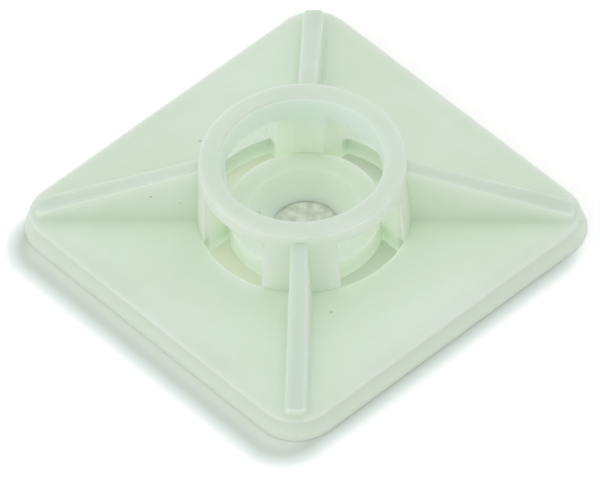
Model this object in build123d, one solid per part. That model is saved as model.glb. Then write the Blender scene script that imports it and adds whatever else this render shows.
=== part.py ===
from build123d import *
from math import atan, degrees, radians, sqrt, tan
import os

# A moulded four-way mount for cable ties, in millimetres. The origin is the middle of the underside, +Z points
# away from the surface that the mount is fixed to, and the sides of the square plate lie along X and Y.

# Base plate: a square with rounded corners, whose edge leans in towards the top face
BASE_SIDE = 28.0
BASE_CORNER_RADIUS = 3.0
PLATE_THICKNESS = 1.45
EDGE_INSET = 0.4
PLATE_EDGE_ROUND = 0.2

# Collar: a drafted ring that stands on four pillars
COLLAR_HEIGHT = 5.25
RING_INNER_RADIUS = 5.4
COLLAR_WALL = 1.4
COLLAR_DRAFT = 3.0
RING_EDGE_ROUND = 0.3

# Tie ways: a window through each side of the collar, open through the plate below, under a bridge of the ring
WINDOW_WIDTH = 5.65
BRIDGE_INNER_HEIGHT = 1.8
BRIDGE_OUTER_HEIGHT = 1.2

# Ribs: drafted webs that fall from the pillars to the plate's corners
RIB_THICKNESS = 1.4
RIB_DRAFT = 2.0
RIB_ROOT_DROP = 0.6
RIB_TIP_RISE = 0.6
RIB_TIP_MARGIN = 0.03
RIB_TIP_ROUND = 0.45
RIB_TOP_ROUND = 0.2

# The round where the ribs meet the plate
FOOT_ROUND = 0.3

# Screw hole: a bore and a countersink, in a floor that stands a little above the plate
SCREW_HOLE_DIAMETER = 4.5
COUNTERSINK_ANGLE = 90.0
COUNTERSINK_LAND = 0.25
FLOOR_RISE = 0.2

# How far a cutting tool runs past the faces that it cuts, and how near two heights count as one
TOOL_OVERRUN = 1.0
HEIGHT_TOLERANCE = 0.001

# Heights, from the underside up
floor_height = PLATE_THICKNESS + FLOOR_RISE
collar_top = PLATE_THICKNESS + COLLAR_HEIGHT
bridge_inner_foot = collar_top - BRIDGE_INNER_HEIGHT
bridge_outer_foot = collar_top - BRIDGE_OUTER_HEIGHT
rib_tip_height = PLATE_THICKNESS + RIB_TIP_RISE
rib_root_height = collar_top - RIB_ROOT_DROP

# Radii of the collar's two drafted walls and of the screw hole
collar_slope = tan(radians(COLLAR_DRAFT))
ring_outer_radius = RING_INNER_RADIUS + COLLAR_WALL
collar_foot_radius = ring_outer_radius + COLLAR_HEIGHT * collar_slope
well_foot_radius = RING_INNER_RADIUS - (collar_top - floor_height) * collar_slope
hole_radius = SCREW_HOLE_DIAMETER / 2
countersink_slope = tan(radians(COUNTERSINK_ANGLE / 2))
countersink_radius = hole_radius + (floor_height - COUNTERSINK_LAND) * countersink_slope

# The flat of the plate's top face, and how far out along its diagonals the ribs run
edge_lean = atan(EDGE_INSET / PLATE_THICKNESS)
edge_round_run = PLATE_EDGE_ROUND * tan(radians(45) - edge_lean / 2)
flat_side = BASE_SIDE - 2 * (EDGE_INSET + edge_round_run)
flat_corner_radius = BASE_CORNER_RADIUS - EDGE_INSET - edge_round_run
flat_reach = flat_side / sqrt(2) - (sqrt(2) - 1) * flat_corner_radius
rib_tip_radius = flat_reach - RIB_TIP_MARGIN - FOOT_ROUND


def at_height(shapes, height):
    """Those of the shapes that lie flat at one height."""
    return shapes.filter_by_position(Axis.Z, height - HEIGHT_TOLERANCE, height + HEIGHT_TOLERANCE)


def turned(*half_section):
    """A solid of revolution about Z, from the (radius, height) corners of its half section."""
    return revolve(make_face(Plane.XZ * Polyline(*half_section, close=True)), Axis.Z)


def base_plate():
    """The plate, with its leaning edge and the round along its top face."""
    footprint = RectangleRounded(BASE_SIDE, BASE_SIDE, BASE_CORNER_RADIUS)
    plate = extrude(footprint, amount=PLATE_THICKNESS, taper=degrees(edge_lean))
    return fillet(at_height(plate.edges(), PLATE_THICKNESS), PLATE_EDGE_ROUND)


def collar_drum():
    """The collar before it is hollowed: a drafted drum that starts inside the plate."""
    buried_radius = collar_foot_radius + PLATE_THICKNESS * collar_slope
    return turned((0, 0), (buried_radius, 0), (ring_outer_radius, collar_top), (0, collar_top))


def rib_pair():
    """Two opposite ribs as one bar along X: cut to their side profile, rounded on top, then round at the tips."""
    spread = 2 * PLATE_THICKNESS * tan(radians(RIB_DRAFT))
    length = 2 * rib_tip_radius + spread
    width = RIB_THICKNESS + spread
    bar = extrude(Rectangle(length, width), amount=collar_top, taper=RIB_DRAFT)
    profile = Polyline(
        (-rib_tip_radius - TOOL_OVERRUN, 0),
        (rib_tip_radius + TOOL_OVERRUN, 0),
        (rib_tip_radius, rib_tip_height),
        (ring_outer_radius, rib_root_height),
        (-ring_outer_radius, rib_root_height),
        (-rib_tip_radius, rib_tip_height),
        close=True,
    )
    ribs = bar & extrude(make_face(Plane.XZ * profile), amount=RIB_THICKNESS, both=True)
    above_plate = ribs.edges().filter_by(lambda edge: edge.bounding_box().min.Z > PLATE_THICKNESS)
    slopes = above_plate.filter_by(lambda edge: edge.bounding_box().size.Z > HEIGHT_TOLERANCE)
    ribs = fillet(slopes, RIB_TOP_ROUND)
    return ribs & extrude(RectangleRounded(length, width, RIB_TIP_ROUND), amount=collar_top, taper=RIB_DRAFT)


def standing_forms():
    """Plate, drum and ribs as one solid, with the rounds at the ribs' feet and along the drum's rim."""
    ribs = rib_pair()
    body = base_plate() + collar_drum() + Rot(0, 0, 45) * ribs + Rot(0, 0, -45) * ribs
    plate_face = at_height(body.faces(), PLATE_THICKNESS).sort_by(SortBy.AREA)[-1]
    feet = plate_face.inner_wires()[0].edges()
    drum_feet = feet.filter_by(GeomType.CIRCLE).filter_by(lambda edge: edge.radius > RIB_THICKNESS)
    body = fillet(feet - drum_feet, FOOT_ROUND)
    return fillet(at_height(body.edges(), collar_top), RING_EDGE_ROUND)


def well():
    """Cutting tool for the collar's inside: screw hole, countersink, floor and drafted wall."""
    above = collar_top + TOOL_OVERRUN
    return turned(
        (0, -TOOL_OVERRUN),
        (hole_radius, -TOOL_OVERRUN),
        (hole_radius, COUNTERSINK_LAND),
        (countersink_radius, floor_height),
        (well_foot_radius, floor_height),
        (RING_INNER_RADIUS, collar_top),
        (RING_INNER_RADIUS, above),
        (0, above),
    )


def hollowed(body):
    """The body with its well cut, and the round at the ring's inner edge."""
    body = body - well()
    circles = body.edges().filter_by(GeomType.CIRCLE)
    rim = at_height(circles, collar_top).sort_by(SortBy.RADIUS)[0]
    return fillet(rim, RING_EDGE_ROUND)


def tie_ways():
    """Cutting tool for the four tie ways: a ring-shaped core from below, where two crossed bars meet it.

    The core leaves the well's floor standing, passes the plate between that floor and the collar's foot, and
    ends at the bridges' undersides, which rise from the ring's inner wall to its outer wall.
    """
    clear_radius = collar_foot_radius + FOOT_ROUND + TOOL_OVERRUN
    underside_slope = (bridge_outer_foot - bridge_inner_foot) / COLLAR_WALL
    core = turned(
        (well_foot_radius, -TOOL_OVERRUN),
        (collar_foot_radius, -TOOL_OVERRUN),
        (collar_foot_radius, PLATE_THICKNESS),
        (clear_radius, PLATE_THICKNESS),
        (clear_radius, bridge_outer_foot + (clear_radius - ring_outer_radius) * underside_slope),
        (well_foot_radius, bridge_inner_foot - (RING_INNER_RADIUS - well_foot_radius) * underside_slope),
    )
    bar = extrude(Rectangle(2 * clear_radius, WINDOW_WIDTH), amount=2 * collar_top, both=True)
    return core & (bar + Rot(0, 0, 90) * bar)


def mount_body():
    """The whole mount."""
    return hollowed(standing_forms()) - tie_ways()


os.makedirs("parts", exist_ok=True)
export_step(mount_body(), "parts/mount_body.step")
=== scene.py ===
"""Looks of a cable tie mount: milky nylon on a white table, in soft light, at the photograph's angle.

Lengths are in metres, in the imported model's frame: the origin is the middle of the mount's underside.
"""

import logging
from dataclasses import dataclass
from enum import Enum
from math import cos, radians, sin

import bpy
import numpy as np
from mathutils import Matrix, Vector

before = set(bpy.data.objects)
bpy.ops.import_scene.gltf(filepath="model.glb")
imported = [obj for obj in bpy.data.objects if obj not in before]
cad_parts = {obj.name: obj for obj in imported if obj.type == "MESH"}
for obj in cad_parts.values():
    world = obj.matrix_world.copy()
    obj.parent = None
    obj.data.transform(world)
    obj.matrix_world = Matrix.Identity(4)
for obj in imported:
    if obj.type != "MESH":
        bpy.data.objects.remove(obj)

Colour = tuple[float, float, float]
Tints = tuple[Colour, Colour]
Place = tuple[float, float, float]
Span = tuple[float, float]
Socket = bpy.types.NodeSocket

LOG = logging.getLogger("cable_tie_mount")
MILLIMETRE = 0.001

# Half the side of the square that is left of the plate inside the rounds of its corners
PLATE_CORE = 11.0 * MILLIMETRE

ORIGIN: Place = (0.0, 0.0, 0.0)
WITHOUT_HEIGHT: Place = (1.0, 1.0, 0.0)
BLACK: Colour = (0.0, 0.0, 0.0)
WHITE: Colour = (1.0, 1.0, 1.0)
OPAQUE = 1.0

# The whole way from nothing to all, and the part of it that the values of a noise mostly cover
UNIT: Span = (0.0, 1.0)
NOISE_SPAN: Span = (0.3, 0.7)

# A Mix node repeats its sockets for each kind of value: these are the share, the two colours and their blend
MIX_INPUTS = (0, 6, 7)
MIX_OUTPUT = 2

# Light goes to and fro many times between pale nylon and a white table
DIFFUSE_BOUNCES = 12


class LampRole(Enum):
    """What a lamp does in the set."""

    KEY = "key"
    FILL = "fill"
    SIDE = "side"


class Easing(Enum):
    """How a number gets from one level to another."""

    STRAIGHT = "LINEAR"
    SMOOTH = "SMOOTHSTEP"


def millimetres(*lengths: float) -> tuple[float, ...]:
    """Turn lengths in millimetres into metres."""
    return tuple(length * MILLIMETRE for length in lengths)


def thrice(value: float) -> tuple[float, float, float]:
    """One value three times: a grey, or the half sides of a cube."""
    return (value, value, value)


class NodeGraph:
    """The nodes of a material or a world, with short ways to add and to join them."""

    def __init__(self, owner: bpy.types.Material | bpy.types.World) -> None:
        """Take over the owner's node tree and empty it, apart from its output.

        Args:
            owner: A new material or world.
        """
        owner.use_nodes = True
        self.tree = owner.node_tree
        nodes = list(self.tree.nodes)
        self.output = next(node for node in nodes if node.bl_idname.startswith("ShaderNodeOutput"))
        for node in nodes:
            if node != self.output:
                self.tree.nodes.remove(node)

    def add(self, kind: str, **values: object) -> bpy.types.Node:
        """Add a node and set its sockets.

        Args:
            kind: The node's type, without its ShaderNode prefix.
            values: Values of input sockets, by name, with an underscore for each space.

        Returns:
            The new node.
        """
        node = self.tree.nodes.new("ShaderNode" + kind)
        for name, value in values.items():
            node.inputs[name.replace("_", " ")].default_value = value
        return node

    def join(self, source: Socket | Colour, target: Socket) -> None:
        """Feed an input socket from an output socket, or set a fixed colour on it.

        Args:
            source: The output or the colour.
            target: The input.
        """
        if isinstance(source, Socket):
            self.tree.links.new(source, target)
        else:
            target.default_value = (*source, OPAQUE)

    def show(self, shader: Socket) -> None:
        """Join a shader to the tree's output."""
        self.join(shader, self.output.inputs["Surface"])

    def place(self) -> Socket:
        """Read the Object coordinates of a point."""
        return self.add("TexCoord").outputs["Object"]

    def part(self, vector: Socket, axis: str) -> Socket:
        """Take one part of a vector.

        Args:
            vector: The vector.
            axis: X, Y or Z.

        Returns:
            The part along that axis.
        """
        parts = self.add("SeparateXYZ")
        self.join(vector, parts.inputs["Vector"])
        return parts.outputs[axis]

    def number(self, operation: str, *values: Socket) -> Socket:
        """Add a step of arithmetic.

        Args:
            operation: Blender's name for it.
            values: The numbers that it takes.

        Returns:
            The resulting number.
        """
        step = self.add("Math")
        step.operation = operation
        for value, target in zip(values, step.inputs):
            self.join(value, target)
        return step.outputs["Value"]

    def vector(self, operation: str, first: Socket, second: Place = ORIGIN) -> Socket:
        """Add a step of arithmetic with vectors.

        Args:
            operation: Blender's name for it.
            first: The vector that it works on.
            second: The fixed vector that it works with, if it takes two.

        Returns:
            The result: a number if it is a length, otherwise a vector.
        """
        step = self.add("VectorMath")
        step.operation = operation
        self.join(first, step.inputs[0])
        step.inputs[1].default_value = second
        return step.outputs["Value" if operation == "LENGTH" else "Vector"]

    def rise(
        self, value: Socket, span: Span, levels: Span = UNIT, easing: Easing = Easing.STRAIGHT
    ) -> Socket:
        """Lead a number from one level to another while a value runs through a span.

        Args:
            value: The value.
            span: The values at which the number leaves the first level and reaches the second.
            levels: The two levels.
            easing: How the number gets from one to the other.

        Returns:
            The number, which keeps the nearer level outside the span.
        """
        node = self.add("MapRange", From_Min=span[0], From_Max=span[1], To_Min=levels[0], To_Max=levels[1])
        node.interpolation_type = easing.value
        self.join(value, node.inputs["Value"])
        return node.outputs["Result"]

    def height(self, span: Span) -> Socket:
        """Measure how far up a span of heights a point lies, from 0 to 1."""
        return self.rise(self.part(self.place(), "Z"), span)

    def ramp(self, value: Socket, colours: tuple[Colour, ...], stops: tuple[float, ...] = UNIT) -> Socket:
        """Turn a value into a colour.

        Args:
            value: The value.
            colours: Two or more colours, in order.
            stops: The values at which they stand.

        Returns:
            The colour.
        """
        node = self.add("ValToRGB")
        elements = node.color_ramp.elements
        for stop in stops[1:-1]:
            elements.new(stop)
        for element, stop, colour in zip(elements, stops, colours):
            element.position = stop
            element.color = (*colour, OPAQUE)
        self.join(value, node.inputs["Fac"])
        return node.outputs["Color"]

    def blend(self, share: Socket, first: Socket, second: Socket | Colour) -> Socket:
        """Blend two colours.

        Args:
            share: The share of the second colour.
            first: The colour at a share of 0.
            second: The colour at a share of 1.

        Returns:
            The blended colour.
        """
        node = self.add("Mix")
        node.data_type = "RGBA"
        for source, index in zip((share, first, second), MIX_INPUTS):
            self.join(source, node.inputs[index])
        return node.outputs[MIX_OUTPUT]

    def choose(self, share: Socket, first: Socket, second: Socket) -> Socket:
        """Choose between two shaders, or mix them.

        Args:
            share: The share of the second shader.
            first: The shader at a share of 0.
            second: The shader at a share of 1.

        Returns:
            The chosen shader.
        """
        node = self.add("MixShader")
        for source, target in zip((share, first, second), node.inputs):
            self.join(source, target)
        return node.outputs["Shader"]

    def looking(self) -> Socket:
        """Tell rays that look at a surface from rays that gather light from it.

        Returns:
            A value of 1 for camera, glossy and transmission rays and 0 for the others.
        """
        path = self.add("LightPath").outputs
        direct = self.number("MAXIMUM", path["Is Camera Ray"], path["Is Glossy Ray"])
        return self.number("MAXIMUM", direct, path["Is Transmission Ray"])


@dataclass(frozen=True)
class Noise:
    """A cloudy pattern on Object coordinates, of a scale, a detail and a roughness of that detail."""

    scale: float
    detail: float = 2.0
    roughness: float = 0.5

    def values(self, graph: NodeGraph) -> Socket:
        """Add the pattern.

        Args:
            graph: The graph to add it to.

        Returns:
            The pattern's value, from 0 to 1.
        """
        node = graph.add("TexNoise", Scale=self.scale, Detail=self.detail, Roughness=self.roughness)
        graph.join(graph.place(), node.inputs["Vector"])
        return node.outputs["Fac"]


@dataclass(frozen=True)
class Reach:
    """How far out from a core round the mount's origin a tone starts to change and has changed."""

    span: Span
    core_half: float = 0.0
    shift: Place = ORIGIN

    def past(self, graph: NodeGraph) -> Socket:
        """Measure how far through the reach a point lies, by its distance from the core.

        The core is a cube. The shift is taken from the point's place, the signs are dropped, and half the
        cube's side is taken away, down to 0 at the least. The length of what is left is the distance.

        Args:
            graph: The graph to add the nodes to.

        Returns:
            A value that goes smoothly from 0 to 1.
        """
        half_sides = thrice(self.core_half)
        offset = graph.vector("ABSOLUTE", graph.vector("SUBTRACT", graph.place(), self.shift))
        outer = graph.vector("MAXIMUM", graph.vector("SUBTRACT", offset, half_sides), ORIGIN)
        return graph.rise(graph.vector("LENGTH", outer), self.span, easing=Easing.SMOOTH)


@dataclass(frozen=True)
class MilkyNylon:
    """Natural nylon: pale green-white, lit through its own thickness, with a satin moulded skin.

    Thick and thin forms let light through differently, so each form has its own pair of tints, with painted
    light and shade: upright faces lighter, the brim and the tops of the ribs and ring darker. Clouds from
    the flow of the melt lead from one tint of a pair to the other.
    """

    name: str = "milky_nylon"

    # Level faces: the plate with the well's floor, and, darker with painted shade, the plate's brim and the
    # tops of the ribs and of the ring
    plate_tints: Tints = ((0.638, 0.718, 0.632), (0.672, 0.748, 0.678))
    brim_painted_shade_tints: Tints = ((0.595, 0.672, 0.590), (0.626, 0.698, 0.628))
    ridge_painted_shade_tints: Tints = ((0.535, 0.625, 0.535), (0.562, 0.652, 0.572))
    ring_painted_shade_tints: Tints = ((0.578, 0.666, 0.574), (0.606, 0.694, 0.612))

    # Upright faces, lighter with painted light: the walls inside the collar and the band above them, the
    # collar's outer wall with the ribs' sides, and the plate's edge, whose two tints are those of its foot,
    # lighter with painted light, and its top, darker with painted shade
    wall_painted_light_tints: Tints = ((0.740, 0.815, 0.705), (0.775, 0.845, 0.755))
    band_painted_light_tints: Tints = ((0.690, 0.790, 0.715), (0.722, 0.820, 0.765))
    rib_painted_light_tints: Tints = ((0.660, 0.742, 0.640), (0.692, 0.770, 0.684))
    edge_painted_light_and_shade_tints: Tints = ((0.690, 0.765, 0.675), (0.565, 0.642, 0.553))

    # Heights over which the edge's painted light gives way to its painted shade, and over which a form's
    # tint gives way to the next form's
    edge_rise: Span = millimetres(0.0, 1.42)
    edge_end: Span = millimetres(1.42, 1.47)
    plate_end: Span = millimetres(1.70, 1.90)
    wall_end: Span = millimetres(3.60, 5.00)
    ridge_end: Span = millimetres(6.15, 6.35)

    # How far out the brim starts, the radii over which the collar's inside ends, and the vertical part of a
    # face's normal, from where the face counts as level to where it counts as upright
    brim: Reach = Reach(millimetres(0.8, 2.9), PLATE_CORE)
    inside_end: Span = millimetres(6.50, 6.75)
    upright_turn: Span = (0.68, 0.30)

    # Patterns: the melt's flow, changes in the skin's gloss, the mould's fine grain, and dark specks
    flow: Noise = Noise(130.0, detail=3.0, roughness=0.55)
    skin: Noise = Noise(420.0)
    gloss: Span = (0.40, 0.54)
    grain: Noise = Noise(2600.0)
    grain_height: float = 0.004 * MILLIMETRE
    speck_tint: Colour = (0.300, 0.320, 0.270)
    speck_scale: float = 400.0
    speck_size: float = 0.045
    speck_share: float = 0.65

    # Light at the skin and inside the nylon, and what the plate and the forms above it let through
    refraction: float = 1.53
    skin_gloss: float = 0.35
    scatter_share: float = 0.75
    scatter_reach: Colour = (1.0, 1.0, 0.85)
    scatter_scale: float = 2.4 * MILLIMETRE
    plate_pass: Colour = (0.20, 0.22, 0.14)
    wall_pass: Colour = (0.76, 0.80, 0.60)

    def material(self) -> bpy.types.Material:
        """Make the nylon material, which lets some tinted light through into its shadow.

        Returns:
            A node material on Object coordinates.
        """
        material = bpy.data.materials.new(self.name)
        graph = NodeGraph(material)
        shading = graph.add("LightPath").outputs["Is Shadow Ray"]
        graph.show(graph.choose(shading, self.solid(graph), self.passing(graph)))
        return material

    def solid(self, graph: NodeGraph) -> Socket:
        """Make the nylon as it is seen, with its tints, its satin gloss and its grain.

        Args:
            graph: The graph to add the nodes to.

        Returns:
            A shader that scatters light inside the nylon.
        """
        shader = graph.add(
            "BsdfPrincipled",
            IOR=self.refraction,
            Specular_IOR_Level=self.skin_gloss,
            Subsurface_Weight=self.scatter_share,
            Subsurface_Radius=self.scatter_reach,
            Subsurface_Scale=self.scatter_scale,
        )
        shader.subsurface_method = "RANDOM_WALK"
        graph.join(self.specked(graph, self.tinted(graph)), shader.inputs["Base Color"])
        gloss = graph.rise(self.skin.values(graph), NOISE_SPAN, self.gloss)
        graph.join(gloss, shader.inputs["Roughness"])
        relief = graph.add("Bump", Distance=self.grain_height)
        graph.join(self.grain.values(graph), relief.inputs["Height"])
        graph.join(relief.outputs["Normal"], shader.inputs["Normal"])
        return shader.outputs["BSDF"]

    def passing(self, graph: NodeGraph) -> Socket:
        """Make the nylon as a filter for the light that it shades.

        Args:
            graph: The graph to add the nodes to.

        Returns:
            A clear shader, darker in the plate than in the forms above it.
        """
        shader = graph.add("BsdfTransparent")
        colour = graph.ramp(graph.height(self.plate_end), (self.plate_pass, self.wall_pass))
        graph.join(colour, shader.inputs["Color"])
        return shader.outputs["BSDF"]

    def tinted(self, graph: NodeGraph) -> Socket:
        """Give each form its tint, with painted light and shade, by its height, its distance from the middle
        and the turn of its faces.

        Args:
            graph: The graph to add the nodes to.

        Returns:
            The colour of the nylon with its painted light and shade, before the specks.
        """
        flow = self.flow.values(graph)
        level_pairs = (self.plate_tints, self.brim_painted_shade_tints, self.ridge_painted_shade_tints, self.ring_painted_shade_tints)
        plate, brim, ridge, ring = (graph.ramp(flow, pair, NOISE_SPAN) for pair in level_pairs)
        upright_pairs = (self.wall_painted_light_tints, self.band_painted_light_tints, self.rib_painted_light_tints)
        wall, band, rib = (graph.ramp(flow, pair, NOISE_SPAN) for pair in upright_pairs)
        edge = graph.ramp(graph.height(self.edge_rise), self.edge_painted_light_and_shade_tints)
        low = graph.blend(self.brim.past(graph), plate, brim)
        high = graph.blend(graph.height(self.ridge_end), ridge, ring)
        level = graph.blend(graph.height(self.plate_end), low, high)
        inner = graph.blend(graph.height(self.wall_end), wall, band)
        outer = graph.blend(graph.height(self.edge_end), edge, rib)
        upright = graph.blend(self.outside(graph), inner, outer)
        return graph.blend(self.upright(graph), level, upright)

    def specked(self, graph: NodeGraph, clean: Socket) -> Socket:
        """Strew fine dark specks over the nylon.

        Args:
            graph: The graph to add the nodes to.
            clean: The colour without them.

        Returns:
            The colour with them.
        """
        cells = graph.add("TexVoronoi", Scale=self.speck_scale)
        graph.join(graph.place(), cells.inputs["Vector"])
        fringe = (self.speck_size, self.speck_size / 2)
        speck = graph.rise(cells.outputs["Distance"], fringe, (0.0, self.speck_share))
        return graph.blend(speck, clean, self.speck_tint)

    def outside(self, graph: NodeGraph) -> Socket:
        """Tell the collar's outer wall and what lies beyond it from the collar's inside, by the radius.

        Args:
            graph: The graph to add the nodes to.

        Returns:
            A value of 0 inside the collar and 1 from its outer wall on.
        """
        flat = graph.vector("MULTIPLY", graph.place(), WITHOUT_HEIGHT)
        return graph.rise(graph.vector("LENGTH", flat), self.inside_end)

    def upright(self, graph: NodeGraph) -> Socket:
        """Tell upright faces, which get painted light for the light that passes them from behind, from level
        ones.

        Args:
            graph: The graph to add the nodes to.

        Returns:
            A value of 0 on level faces and 1 on upright ones.
        """
        normal = graph.add("TexCoord").outputs["Normal"]
        vertical = graph.number("ABSOLUTE", graph.part(normal, "Z"))
        return graph.rise(vertical, self.upright_turn)


@dataclass(frozen=True)
class WhiteTable:
    """A matt white table that shows white and keeps the mount's shadow.

    Rays that look at it see painted shade and light by place: under the screw hole, under the slots and
    round the plate. Rays that gather light from it find plain paint, with a weak painted glow under the
    plate.
    """

    name: str = "white_table"
    paint: float = 0.92

    # A painted glow, for light that passed the plate: from the hole's edge to the plate's
    glow: Colour = (0.88, 1.0, 0.84)
    glow_level: float = 0.27
    glow_reach: Reach = Reach(millimetres(2.0, 3.4), PLATE_CORE)

    # Under the screw hole: a mottled painted shade
    hole_reach: Reach = Reach(millimetres(2.3, 3.3))
    hole_shades: Tints = ((0.55, 0.60, 0.52), (0.75, 0.80, 0.70))
    hole_stops: Span = (0.35, 0.62)
    mottle: Noise = Noise(1500.0, detail=3.0)

    # Under the slots: a painted shade, paler with painted light towards -X and -Y, the left as the camera
    # sees it
    slot_reach: Reach = Reach(millimetres(7.4, 10.0))
    slot_shades: Tints = ((0.98, 1.0, 0.86), (0.80, 0.86, 0.77))
    slot_span: Span = millimetres(-6.0, 6.0)

    # Round the plate: a soft painted shadow, shifted towards -Y, darkest a little way out and then fading to
    # a white that is over 1, so that the table shows white also where the mount takes some of its light
    shade_reach: Reach = Reach(millimetres(1.1, 3.9), PLATE_CORE, millimetres(0.7, -1.85, 0.0))
    shade_stops: tuple[float, ...] = (0.0, 0.28, 0.42, 0.78, 1.0)
    foot_shade: Colour = (0.73, 0.81, 0.71)
    dark_shade: Colour = (0.61, 0.675, 0.62)
    fade_shade: Colour = (0.83, 0.90, 0.875)
    white: Colour = (1.10, 1.10, 1.10)

    def material(self) -> bpy.types.Material:
        """Make the table's material, with one shader for each of the two kinds of rays.

        Returns:
            A node material on Object coordinates.
        """
        material = bpy.data.materials.new(self.name)
        material.cycles.emission_sampling = "NONE"
        graph = NodeGraph(material)
        graph.show(graph.choose(graph.looking(), self.lighting(graph), self.shown(graph)))
        return material

    def lighting(self, graph: NodeGraph) -> Socket:
        """Make the table as it lights the mount: matt paint and the painted glow under the plate.

        Args:
            graph: The graph to add the nodes to.

        Returns:
            The two shaders' sum.
        """
        paint = graph.add("BsdfDiffuse", Color=(*thrice(self.paint), OPAQUE))
        glow = graph.add("Emission", Strength=self.glow_level)
        past_edge = self.glow_reach.past(graph)
        under = graph.ramp(self.hole_reach.past(graph), (BLACK, self.glow))
        fading = graph.ramp(past_edge, (self.glow, BLACK))
        graph.join(graph.blend(past_edge, under, fading), glow.inputs["Color"])
        both = graph.add("AddShader")
        graph.join(paint.outputs["BSDF"], both.inputs[0])
        graph.join(glow.outputs["Emission"], both.inputs[1])
        return both.outputs["Shader"]

    def shown(self, graph: NodeGraph) -> Socket:
        """Make the table as it is seen: matt paint with the painted shade and light of each place.

        Args:
            graph: The graph to add the nodes to.

        Returns:
            The shader.
        """
        hole = graph.ramp(self.mottle.values(graph), self.hole_shades, self.hole_stops)
        inner = graph.blend(self.hole_reach.past(graph), hole, self.slots(graph))
        shades = (self.foot_shade, self.dark_shade, self.dark_shade, self.fade_shade, self.white)
        outer = graph.ramp(self.shade_reach.past(graph), shades, self.shade_stops)
        shader = graph.add("BsdfDiffuse")
        graph.join(graph.blend(self.slot_reach.past(graph), inner, outer), shader.inputs["Color"])
        return shader.outputs["BSDF"]

    def slots(self, graph: NodeGraph) -> Socket:
        """Paint shade under the slots, with painted light on the left ones for light that passed the ribs
        and walls.

        Args:
            graph: The graph to add the nodes to.

        Returns:
            The painted shade and light there, by the sum of X and Y.
        """
        place = graph.place()
        across = graph.number("ADD", graph.part(place, "X"), graph.part(place, "Y"))
        return graph.ramp(graph.rise(across, self.slot_span), self.slot_shades)


@dataclass
class Mount:
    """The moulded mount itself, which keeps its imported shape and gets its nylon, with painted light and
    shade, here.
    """

    node: str = "mount_body"
    slot: str = "body"
    finish_and_painted_light: MilkyNylon = MilkyNylon()

    def dress(self) -> bpy.types.Object:
        """Put the nylon, with its painted light and shade, on the mount.

        Returns:
            The dressed object.
        """
        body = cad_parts[self.node]
        body.data.materials.clear()
        body.data.materials.append(self.finish_and_painted_light.material())
        return body


@dataclass
class Table:
    """The table under the mount, a flat square sheet."""

    name: str = "table"
    half_side: float = 1.5
    drop: float = 0.05 * MILLIMETRE
    finish_and_painted_light: WhiteTable = WhiteTable()

    def build(self) -> bpy.types.Object:
        """Build the sheet: a square about the origin, a hair below the mount's underside.

        Its corners are half a side from the origin, both ways along X and Y, and all lowered by the drop.

        Returns:
            The table's object.
        """
        square = np.array([[-1.0, -1.0], [1.0, -1.0], [1.0, 1.0], [-1.0, 1.0]])
        corners = np.column_stack((self.half_side * square, np.full(len(square), -self.drop)))
        mesh = bpy.data.meshes.new(self.name)
        mesh.from_pydata(corners.tolist(), [], [(0, 1, 2, 3)])
        mesh.materials.append(self.finish_and_painted_light.material())
        table = bpy.data.objects.new(self.name, mesh)
        bpy.context.scene.collection.objects.link(table)
        return table


@dataclass(frozen=True)
class Lamp:
    """One soft, round lamp that faces the mount, with angles in degrees and power in watts."""

    role: LampRole
    azimuth: float
    elevation: float
    distance: float
    size: float
    power: float

    def build(self) -> bpy.types.Object:
        """Place the lamp, with its azimuth counted from +X towards +Y.

        Returns:
            The lamp's object.
        """
        data = bpy.data.lights.new(self.role.value, "AREA")
        data.shape = "DISK"
        data.size = self.size
        data.energy = self.power
        lamp = bpy.data.objects.new(self.role.value, data)
        turn = radians(self.azimuth)
        lift = radians(self.elevation)
        place = Vector((cos(turn) * cos(lift), sin(turn) * cos(lift), sin(lift))) * self.distance
        lamp.location = place
        lamp.rotation_euler = place.to_track_quat("Z", "Y").to_euler()
        bpy.context.scene.collection.objects.link(lamp)
        return lamp


@dataclass
class Studio:
    """The white room's light: a sky that is a little brighter overhead than low down, and the lamps."""

    name: str = "white_room"
    horizon: float = 0.735
    zenith: float = 0.86
    lamps: tuple[Lamp, ...] = (
        Lamp(LampRole.KEY, azimuth=115.0, elevation=60.0, distance=0.20, size=0.12, power=0.040),
        Lamp(LampRole.SIDE, azimuth=-5.0, elevation=14.0, distance=0.40, size=0.24, power=0.11),
        Lamp(LampRole.FILL, azimuth=-115.0, elevation=26.0, distance=0.40, size=0.24, power=0.25),
    )

    def build(self) -> list[bpy.types.Object]:
        """Set the sky, then build the lamps.

        Returns:
            The lamps' objects.
        """
        bpy.context.scene.world = self.sky()
        return [lamp.build() for lamp in self.lamps]

    def sky(self) -> bpy.types.World:
        """Make the sky, which shows white and lights the mount at its own levels.

        Returns:
            The world.
        """
        world = bpy.data.worlds.new(self.name)
        graph = NodeGraph(world)
        height = graph.part(graph.add("TexCoord").outputs["Generated"], "Z")
        light = graph.add("Background", Color=(*WHITE, OPAQUE))
        graph.join(graph.rise(height, UNIT, (self.horizon, self.zenith)), light.inputs["Strength"])
        white = graph.add("Background", Color=(*WHITE, OPAQUE))
        graph.show(graph.choose(graph.looking(), light.outputs["Background"], white.outputs["Background"]))
        return world


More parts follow.
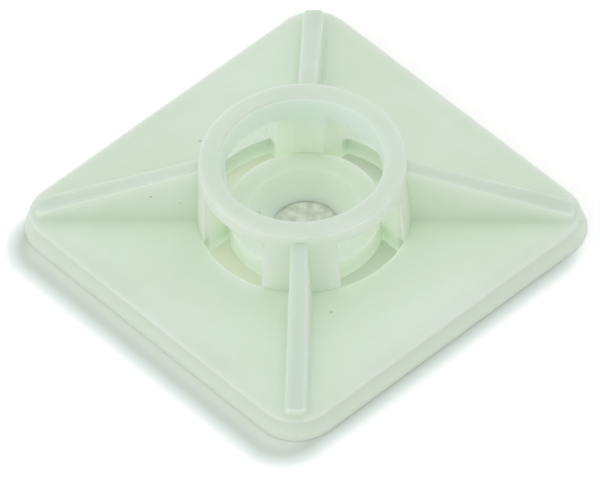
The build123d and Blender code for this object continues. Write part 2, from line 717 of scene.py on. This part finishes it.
@dataclass
class PhotoCamera:
    """A long lens placed as the photograph's, in a frame of 600 by 477 pixels, with angles in degrees."""

    name: str = "photo_camera"
    width: float = 600.0
    height: float = 477.0
    focal_pixels: float = 9111.8
    origin_pixel: tuple[float, float] = (305.67, 226.72)
    distance: float = 600.07 * MILLIMETRE
    azimuth: float = 49.23
    elevation: float = 48.18
    roll: float = -2.99
    sensor_millimetres: float = 36.0

    def axes(self) -> tuple[Vector, Vector, Vector]:
        """Work out the camera's directions: forward by azimuth and elevation, the others rolled about it.

        Returns:
            Where right, up and forward point.
        """
        turn = radians(self.azimuth)
        drop = radians(self.elevation)
        tilt = radians(self.roll)
        forward = Vector((-sin(turn) * cos(drop), cos(turn) * cos(drop), -sin(drop)))
        level = Vector((cos(turn), sin(turn), 0.0))
        rise = level.cross(forward)
        right = level * cos(tilt) + rise * sin(tilt)
        up = rise * cos(tilt) - level * sin(tilt)
        return right, up, forward

    def build(self) -> bpy.types.Object:
        """Aim the camera at the mount's origin, then slide it so that the origin falls on its pixel.

        Returns:
            The camera's object, set as the scene's camera.
        """
        right, up, forward = self.axes()
        metres_per_pixel = self.distance / self.focal_pixels
        slide_right = (self.width / 2 - self.origin_pixel[0]) * metres_per_pixel
        slide_up = (self.origin_pixel[1] - self.height / 2) * metres_per_pixel
        place = right * slide_right + up * slide_up - forward * self.distance
        data = bpy.data.cameras.new(self.name)
        data.sensor_width = self.sensor_millimetres
        data.lens = self.focal_pixels / self.width * self.sensor_millimetres
        camera = bpy.data.objects.new(self.name, data)
        turned = Matrix((right, up, -forward)).transposed().to_4x4()
        camera.matrix_world = Matrix.Translation(place) @ turned
        bpy.context.scene.collection.objects.link(camera)
        bpy.context.scene.camera = camera
        return camera


def main() -> None:
    """Dress the mount, set the stage, the light and the camera, and report each piece."""
    logging.basicConfig(level=logging.INFO, format="%(name)s: %(message)s")
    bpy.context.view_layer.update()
    body = Mount().dress()
    LOG.info("%s dressed in %s", body.name, body.data.materials[0].name)
    table = Table().build()
    LOG.info("%s laid", table.name)
    for lamp in Studio().build():
        LOG.info("%s lamp placed", lamp.name)
    camera = PhotoCamera().build()
    LOG.info("%s aimed, lens %.0f mm", camera.name, camera.data.lens)
    bpy.context.scene.view_settings.view_transform = "Standard"
    bpy.context.scene.cycles.diffuse_bounces = DIFFUSE_BOUNCES


if __name__ == "__main__":
    main()
